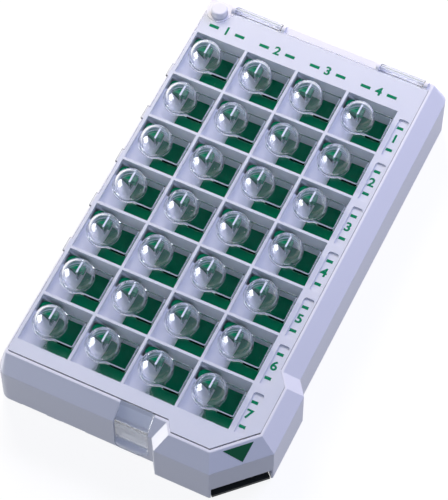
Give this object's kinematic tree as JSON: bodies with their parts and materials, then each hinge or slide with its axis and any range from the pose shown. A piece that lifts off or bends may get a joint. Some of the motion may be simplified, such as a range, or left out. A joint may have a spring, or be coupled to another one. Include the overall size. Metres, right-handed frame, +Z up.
{
  "type": "pill organizer",
  "caption": "Weekly pill organizer: cells under a clear hinged lid, each with a push-button dome over a green trapdoor that tips its dose into the casing and out of a corner slot.",
  "frame": {"origin": "centre of the bounding box, on the surface that the organizer rests on", "axes": "+X across the columns towards the spout's side, +Y along the rows towards the lid's hinge, +Z up through the buttons"},
  "size_m": [0.1326, 0.2326, 0.0431],
  "materials": {
    "white_casing": "satin",
    "clear_lid": "clear, polished",
    "clear_button": "clear, polished",
    "green_door": "gloss"
  },
  "bodies": {
    "casing": {"base_casing": "white_casing", "cell_block": "white_casing"},
    "cover": {"lid": "clear_lid"},
    "knob": {"lock_knob": "white_casing"},
    "button_r1_c1": {"dose_button_r1_c1": "clear_button"},
    "door_r1_c1": {"trapdoor_r1_c1": "green_door"},
    "button_r1_c2": {"dose_button_r1_c2": "clear_button"},
    "door_r1_c2": {"trapdoor_r1_c2": "green_door"},
    "button_r1_c3": {"dose_button_r1_c3": "clear_button"},
    "door_r1_c3": {"trapdoor_r1_c3": "green_door"},
    "button_r1_c4": {"dose_button_r1_c4": "clear_button"},
    "door_r1_c4": {"trapdoor_r1_c4": "green_door"},
    "button_r2_c1": {"dose_button_r2_c1": "clear_button"},
    "door_r2_c1": {"trapdoor_r2_c1": "green_door"},
    "button_r2_c2": {"dose_button_r2_c2": "clear_button"},
    "door_r2_c2": {"trapdoor_r2_c2": "green_door"},
    "button_r2_c3": {"dose_button_r2_c3": "clear_button"},
    "door_r2_c3": {"trapdoor_r2_c3": "green_door"},
    "button_r2_c4": {"dose_button_r2_c4": "clear_button"},
    "door_r2_c4": {"trapdoor_r2_c4": "green_door"},
    "button_r3_c1": {"dose_button_r3_c1": "clear_button"},
    "door_r3_c1": {"trapdoor_r3_c1": "green_door"},
    "button_r3_c2": {"dose_button_r3_c2": "clear_button"},
    "door_r3_c2": {"trapdoor_r3_c2": "green_door"},
    "button_r3_c3": {"dose_button_r3_c3": "clear_button"},
    "door_r3_c3": {"trapdoor_r3_c3": "green_door"},
    "button_r3_c4": {"dose_button_r3_c4": "clear_button"},
    "door_r3_c4": {"trapdoor_r3_c4": "green_door"},
    "button_r4_c1": {"dose_button_r4_c1": "clear_button"},
    "door_r4_c1": {"trapdoor_r4_c1": "green_door"},
    "button_r4_c2": {"dose_button_r4_c2": "clear_button"},
    "door_r4_c2": {"trapdoor_r4_c2": "green_door"},
    "button_r4_c3": {"dose_button_r4_c3": "clear_button"},
    "door_r4_c3": {"trapdoor_r4_c3": "green_door"},
    "button_r4_c4": {"dose_button_r4_c4": "clear_button"},
    "door_r4_c4": {"trapdoor_r4_c4": "green_door"},
    "button_r5_c1": {"dose_button_r5_c1": "clear_button"},
    "door_r5_c1": {"trapdoor_r5_c1": "green_door"},
    "button_r5_c2": {"dose_button_r5_c2": "clear_button"},
    "door_r5_c2": {"trapdoor_r5_c2": "green_door"},
    "button_r5_c3": {"dose_button_r5_c3": "clear_button"},
    "door_r5_c3": {"trapdoor_r5_c3": "green_door"},
    "button_r5_c4": {"dose_button_r5_c4": "clear_button"},
    "door_r5_c4": {"trapdoor_r5_c4": "green_door"},
    "button_r6_c1": {"dose_button_r6_c1": "clear_button"},
    "door_r6_c1": {"trapdoor_r6_c1": "green_door"},
    "button_r6_c2": {"dose_button_r6_c2": "clear_button"},
    "door_r6_c2": {"trapdoor_r6_c2": "green_door"},
    "button_r6_c3": {"dose_button_r6_c3": "clear_button"},
    "door_r6_c3": {"trapdoor_r6_c3": "green_door"},
    "button_r6_c4": {"dose_button_r6_c4": "clear_button"},
    "door_r6_c4": {"trapdoor_r6_c4": "green_door"},
    "button_r7_c1": {"dose_button_r7_c1": "clear_button"},
    "door_r7_c1": {"trapdoor_r7_c1": "green_door"},
    "button_r7_c2": {"dose_button_r7_c2": "clear_button"},
    "door_r7_c2": {"trapdoor_r7_c2": "green_door"},
    "button_r7_c3": {"dose_button_r7_c3": "clear_button"},
    "door_r7_c3": {"trapdoor_r7_c3": "green_door"},
    "button_r7_c4": {"dose_button_r7_c4": "clear_button"},
    "door_r7_c4": {"trapdoor_r7_c4": "green_door"}
  },
  "joints": [
    {"name": "lid_hinge", "type": "hinge", "parent": "casing", "child": "cover", "pos_m": [0, 0.1131, 0.0309], "axis": [-1, 0, 0], "range_deg": [0, 110]},
    {"name": "knob_slide", "type": "slide", "parent": "casing", "child": "knob", "axis": [0, 0, -1], "range_m": [0, 0.0018], "stiffness_N_per_m": 400, "springref_m": -0.0008},
    {"name": "button_push_r1_c1", "type": "slide", "parent": "cover", "child": "button_r1_c1", "axis": [0, 0, -1], "range_m": [0, 0.003], "stiffness_N_per_m": 300, "springref_m": -0.0006},
    {"name": "door_tip_r1_c1", "type": "hinge", "parent": "casing", "child": "door_r1_c1", "pos_m": [-0.06085, 0.08055, 0.0235], "axis": [0, 1, 0], "range_deg": [0, 26]},
    {"name": "button_push_r1_c2", "type": "slide", "parent": "cover", "child": "button_r1_c2", "axis": [0, 0, -1], "range_m": [0, 0.003], "stiffness_N_per_m": 300, "springref_m": -0.0006},
    {"name": "door_tip_r1_c2", "type": "hinge", "parent": "casing", "child": "door_r1_c2", "pos_m": [-0.03375, 0.08055, 0.0235], "axis": [0, 1, 0], "range_deg": [0, 26]},
    {"name": "button_push_r1_c3", "type": "slide", "parent": "cover", "child": "button_r1_c3", "axis": [0, 0, -1], "range_m": [0, 0.003], "stiffness_N_per_m": 300, "springref_m": -0.0006},
    {"name": "door_tip_r1_c3", "type": "hinge", "parent": "casing", "child": "door_r1_c3", "pos_m": [-0.00665, 0.08055, 0.0235], "axis": [0, 1, 0], "range_deg": [0, 26]},
    {"name": "button_push_r1_c4", "type": "slide", "parent": "cover", "child": "button_r1_c4", "axis": [0, 0, -1], "range_m": [0, 0.003], "stiffness_N_per_m": 300, "springref_m": -0.0006},
    {"name": "door_tip_r1_c4", "type": "hinge", "parent": "casing", "child": "door_r1_c4", "pos_m": [0.02045, 0.08055, 0.0235], "axis": [0, 1, 0], "range_deg": [0, 26]},
    {"name": "button_push_r2_c1", "type": "slide", "parent": "cover", "child": "button_r2_c1", "axis": [0, 0, -1], "range_m": [0, 0.003], "stiffness_N_per_m": 300, "springref_m": -0.0006},
    {"name": "door_tip_r2_c1", "type": "hinge", "parent": "casing", "child": "door_r2_c1", "pos_m": [-0.06085, 0.05345, 0.0235], "axis": [0, 1, 0], "range_deg": [0, 26]},
    {"name": "button_push_r2_c2", "type": "slide", "parent": "cover", "child": "button_r2_c2", "axis": [0, 0, -1], "range_m": [0, 0.003], "stiffness_N_per_m": 300, "springref_m": -0.0006},
    {"name": "door_tip_r2_c2", "type": "hinge", "parent": "casing", "child": "door_r2_c2", "pos_m": [-0.03375, 0.05345, 0.0235], "axis": [0, 1, 0], "range_deg": [0, 26]},
    {"name": "button_push_r2_c3", "type": "slide", "parent": "cover", "child": "button_r2_c3", "axis": [0, 0, -1], "range_m": [0, 0.003], "stiffness_N_per_m": 300, "springref_m": -0.0006},
    {"name": "door_tip_r2_c3", "type": "hinge", "parent": "casing", "child": "door_r2_c3", "pos_m": [-0.00665, 0.05345, 0.0235], "axis": [0, 1, 0], "range_deg": [0, 26]},
    {"name": "button_push_r2_c4", "type": "slide", "parent": "cover", "child": "button_r2_c4", "axis": [0, 0, -1], "range_m": [0, 0.003], "stiffness_N_per_m": 300, "springref_m": -0.0006},
    {"name": "door_tip_r2_c4", "type": "hinge", "parent": "casing", "child": "door_r2_c4", "pos_m": [0.02045, 0.05345, 0.0235], "axis": [0, 1, 0], "range_deg": [0, 26]},
    {"name": "button_push_r3_c1", "type": "slide", "parent": "cover", "child": "button_r3_c1", "axis": [0, 0, -1], "range_m": [0, 0.003], "stiffness_N_per_m": 300, "springref_m": -0.0006},
    {"name": "door_tip_r3_c1", "type": "hinge", "parent": "casing", "child": "door_r3_c1", "pos_m": [-0.06085, 0.02635, 0.0235], "axis": [0, 1, 0], "range_deg": [0, 26]},
    {"name": "button_push_r3_c2", "type": "slide", "parent": "cover", "child": "button_r3_c2", "axis": [0, 0, -1], "range_m": [0, 0.003], "stiffness_N_per_m": 300, "springref_m": -0.0006},
    {"name": "door_tip_r3_c2", "type": "hinge", "parent": "casing", "child": "door_r3_c2", "pos_m": [-0.03375, 0.02635, 0.0235], "axis": [0, 1, 0], "range_deg": [0, 26]},
    {"name": "button_push_r3_c3", "type": "slide", "parent": "cover", "child": "button_r3_c3", "axis": [0, 0, -1], "range_m": [0, 0.003], "stiffness_N_per_m": 300, "springref_m": -0.0006},
    {"name": "door_tip_r3_c3", "type": "hinge", "parent": "casing", "child": "door_r3_c3", "pos_m": [-0.00665, 0.02635, 0.0235], "axis": [0, 1, 0], "range_deg": [0, 26]},
    {"name": "button_push_r3_c4", "type": "slide", "parent": "cover", "child": "button_r3_c4", "axis": [0, 0, -1], "range_m": [0, 0.003], "stiffness_N_per_m": 300, "springref_m": -0.0006},
    {"name": "door_tip_r3_c4", "type": "hinge", "parent": "casing", "child": "door_r3_c4", "pos_m": [0.02045, 0.02635, 0.0235], "axis": [0, 1, 0], "range_deg": [0, 26]},
    {"name": "button_push_r4_c1", "type": "slide", "parent": "cover", "child": "button_r4_c1", "axis": [0, 0, -1], "range_m": [0, 0.003], "stiffness_N_per_m": 300, "springref_m": -0.0006},
    {"name": "door_tip_r4_c1", "type": "hinge", "parent": "casing", "child": "door_r4_c1", "pos_m": [-0.06085, -0.00075, 0.0235], "axis": [0, 1, 0], "range_deg": [0, 26]},
    {"name": "button_push_r4_c2", "type": "slide", "parent": "cover", "child": "button_r4_c2", "axis": [0, 0, -1], "range_m": [0, 0.003], "stiffness_N_per_m": 300, "springref_m": -0.0006},
    {"name": "door_tip_r4_c2", "type": "hinge", "parent": "casing", "child": "door_r4_c2", "pos_m": [-0.03375, -0.00075, 0.0235], "axis": [0, 1, 0], "range_deg": [0, 26]},
    {"name": "button_push_r4_c3", "type": "slide", "parent": "cover", "child": "button_r4_c3", "axis": [0, 0, -1], "range_m": [0, 0.003], "stiffness_N_per_m": 300, "springref_m": -0.0006},
    {"name": "door_tip_r4_c3", "type": "hinge", "parent": "casing", "child": "door_r4_c3", "pos_m": [-0.00665, -0.00075, 0.0235], "axis": [0, 1, 0], "range_deg": [0, 26]},
    {"name": "button_push_r4_c4", "type": "slide", "parent": "cover", "child": "button_r4_c4", "axis": [0, 0, -1], "range_m": [0, 0.003], "stiffness_N_per_m": 300, "springref_m": -0.0006},
    {"name": "door_tip_r4_c4", "type": "hinge", "parent": "casing", "child": "door_r4_c4", "pos_m": [0.02045, -0.00075, 0.0235], "axis": [0, 1, 0], "range_deg": [0, 26]},
    {"name": "button_push_r5_c1", "type": "slide", "parent": "cover", "child": "button_r5_c1", "axis": [0, 0, -1], "range_m": [0, 0.003], "stiffness_N_per_m": 300, "springref_m": -0.0006},
    {"name": "door_tip_r5_c1", "type": "hinge", "parent": "casing", "child": "door_r5_c1", "pos_m": [-0.06085, -0.02785, 0.0235], "axis": [0, 1, 0], "range_deg": [0, 26]},
    {"name": "button_push_r5_c2", "type": "slide", "parent": "cover", "child": "button_r5_c2", "axis": [0, 0, -1], "range_m": [0, 0.003], "stiffness_N_per_m": 300, "springref_m": -0.0006},
    {"name": "door_tip_r5_c2", "type": "hinge", "parent": "casing", "child": "door_r5_c2", "pos_m": [-0.03375, -0.02785, 0.0235], "axis": [0, 1, 0], "range_deg": [0, 26]},
    {"name": "button_push_r5_c3", "type": "slide", "parent": "cover", "child": "button_r5_c3", "axis": [0, 0, -1], "range_m": [0, 0.003], "stiffness_N_per_m": 300, "springref_m": -0.0006},
    {"name": "door_tip_r5_c3", "type": "hinge", "parent": "casing", "child": "door_r5_c3", "pos_m": [-0.00665, -0.02785, 0.0235], "axis": [0, 1, 0], "range_deg": [0, 26]},
    {"name": "button_push_r5_c4", "type": "slide", "parent": "cover", "child": "button_r5_c4", "axis": [0, 0, -1], "range_m": [0, 0.003], "stiffness_N_per_m": 300, "springref_m": -0.0006},
    {"name": "door_tip_r5_c4", "type": "hinge", "parent": "casing", "child": "door_r5_c4", "pos_m": [0.02045, -0.02785, 0.0235], "axis": [0, 1, 0], "range_deg": [0, 26]},
    {"name": "button_push_r6_c1", "type": "slide", "parent": "cover", "child": "button_r6_c1", "axis": [0, 0, -1], "range_m": [0, 0.003], "stiffness_N_per_m": 300, "springref_m": -0.0006},
    {"name": "door_tip_r6_c1", "type": "hinge", "parent": "casing", "child": "door_r6_c1", "pos_m": [-0.06085, -0.05495, 0.0235], "axis": [0, 1, 0], "range_deg": [0, 26]},
    {"name": "button_push_r6_c2", "type": "slide", "parent": "cover", "child": "button_r6_c2", "axis": [0, 0, -1], "range_m": [0, 0.003], "stiffness_N_per_m": 300, "springref_m": -0.0006},
    {"name": "door_tip_r6_c2", "type": "hinge", "parent": "casing", "child": "door_r6_c2", "pos_m": [-0.03375, -0.05495, 0.0235], "axis": [0, 1, 0], "range_deg": [0, 26]},
    {"name": "button_push_r6_c3", "type": "slide", "parent": "cover", "child": "button_r6_c3", "axis": [0, 0, -1], "range_m": [0, 0.003], "stiffness_N_per_m": 300, "springref_m": -0.0006},
    {"name": "door_tip_r6_c3", "type": "hinge", "parent": "casing", "child": "door_r6_c3", "pos_m": [-0.00665, -0.05495, 0.0235], "axis": [0, 1, 0], "range_deg": [0, 26]},
    {"name": "button_push_r6_c4", "type": "slide", "parent": "cover", "child": "button_r6_c4", "axis": [0, 0, -1], "range_m": [0, 0.003], "stiffness_N_per_m": 300, "springref_m": -0.0006},
    {"name": "door_tip_r6_c4", "type": "hinge", "parent": "casing", "child": "door_r6_c4", "pos_m": [0.02045, -0.05495, 0.0235], "axis": [0, 1, 0], "range_deg": [0, 26]},
    {"name": "button_push_r7_c1", "type": "slide", "parent": "cover", "child": "button_r7_c1", "axis": [0, 0, -1], "range_m": [0, 0.003], "stiffness_N_per_m": 300, "springref_m": -0.0006},
    {"name": "door_tip_r7_c1", "type": "hinge", "parent": "casing", "child": "door_r7_c1", "pos_m": [-0.06085, -0.08205, 0.0235], "axis": [0, 1, 0], "range_deg": [0, 26]},
    {"name": "button_push_r7_c2", "type": "slide", "parent": "cover", "child": "button_r7_c2", "axis": [0, 0, -1], "range_m": [0, 0.003], "stiffness_N_per_m": 300, "springref_m": -0.0006},
    {"name": "door_tip_r7_c2", "type": "hinge", "parent": "casing", "child": "door_r7_c2", "pos_m": [-0.03375, -0.08205, 0.0235], "axis": [0, 1, 0], "range_deg": [0, 26]},
    {"name": "button_push_r7_c3", "type": "slide", "parent": "cover", "child": "button_r7_c3", "axis": [0, 0, -1], "range_m": [0, 0.003], "stiffness_N_per_m": 300, "springref_m": -0.0006},
    {"name": "door_tip_r7_c3", "type": "hinge", "parent": "casing", "child": "door_r7_c3", "pos_m": [-0.00665, -0.08205, 0.0235], "axis": [0, 1, 0], "range_deg": [0, 26]},
    {"name": "button_push_r7_c4", "type": "slide", "parent": "cover", "child": "button_r7_c4", "axis": [0, 0, -1], "range_m": [0, 0.003], "stiffness_N_per_m": 300, "springref_m": -0.0006},
    {"name": "door_tip_r7_c4", "type": "hinge", "parent": "casing", "child": "door_r7_c4", "pos_m": [0.02045, -0.08205, 0.0235], "axis": [0, 1, 0], "range_deg": [0, 26]}
  ],
  "couplings": [
    {"joint": "door_tip_r1_c1", "follows": "button_push_r1_c1", "rad_per_m": 148.35},
    {"joint": "door_tip_r1_c2", "follows": "button_push_r1_c2", "rad_per_m": 148.35},
    {"joint": "door_tip_r1_c3", "follows": "button_push_r1_c3", "rad_per_m": 148.35},
    {"joint": "door_tip_r1_c4", "follows": "button_push_r1_c4", "rad_per_m": 148.35},
    {"joint": "door_tip_r2_c1", "follows": "button_push_r2_c1", "rad_per_m": 148.35},
    {"joint": "door_tip_r2_c2", "follows": "button_push_r2_c2", "rad_per_m": 148.35},
    {"joint": "door_tip_r2_c3", "follows": "button_push_r2_c3", "rad_per_m": 148.35},
    {"joint": "door_tip_r2_c4", "follows": "button_push_r2_c4", "rad_per_m": 148.35},
    {"joint": "door_tip_r3_c1", "follows": "button_push_r3_c1", "rad_per_m": 148.35},
    {"joint": "door_tip_r3_c2", "follows": "button_push_r3_c2", "rad_per_m": 148.35},
    {"joint": "door_tip_r3_c3", "follows": "button_push_r3_c3", "rad_per_m": 148.35},
    {"joint": "door_tip_r3_c4", "follows": "button_push_r3_c4", "rad_per_m": 148.35},
    {"joint": "door_tip_r4_c1", "follows": "button_push_r4_c1", "rad_per_m": 148.35},
    {"joint": "door_tip_r4_c2", "follows": "button_push_r4_c2", "rad_per_m": 148.35},
    {"joint": "door_tip_r4_c3", "follows": "button_push_r4_c3", "rad_per_m": 148.35},
    {"joint": "door_tip_r4_c4", "follows": "button_push_r4_c4", "rad_per_m": 148.35},
    {"joint": "door_tip_r5_c1", "follows": "button_push_r5_c1", "rad_per_m": 148.35},
    {"joint": "door_tip_r5_c2", "follows": "button_push_r5_c2", "rad_per_m": 148.35},
    {"joint": "door_tip_r5_c3", "follows": "button_push_r5_c3", "rad_per_m": 148.35},
    {"joint": "door_tip_r5_c4", "follows": "button_push_r5_c4", "rad_per_m": 148.35},
    {"joint": "door_tip_r6_c1", "follows": "button_push_r6_c1", "rad_per_m": 148.35},
    {"joint": "door_tip_r6_c2", "follows": "button_push_r6_c2", "rad_per_m": 148.35},
    {"joint": "door_tip_r6_c3", "follows": "button_push_r6_c3", "rad_per_m": 148.35},
    {"joint": "door_tip_r6_c4", "follows": "button_push_r6_c4", "rad_per_m": 148.35},
    {"joint": "door_tip_r7_c1", "follows": "button_push_r7_c1", "rad_per_m": 148.35},
    {"joint": "door_tip_r7_c2", "follows": "button_push_r7_c2", "rad_per_m": 148.35},
    {"joint": "door_tip_r7_c3", "follows": "button_push_r7_c3", "rad_per_m": 148.35},
    {"joint": "door_tip_r7_c4", "follows": "button_push_r7_c4", "rad_per_m": 148.35}
  ]
}
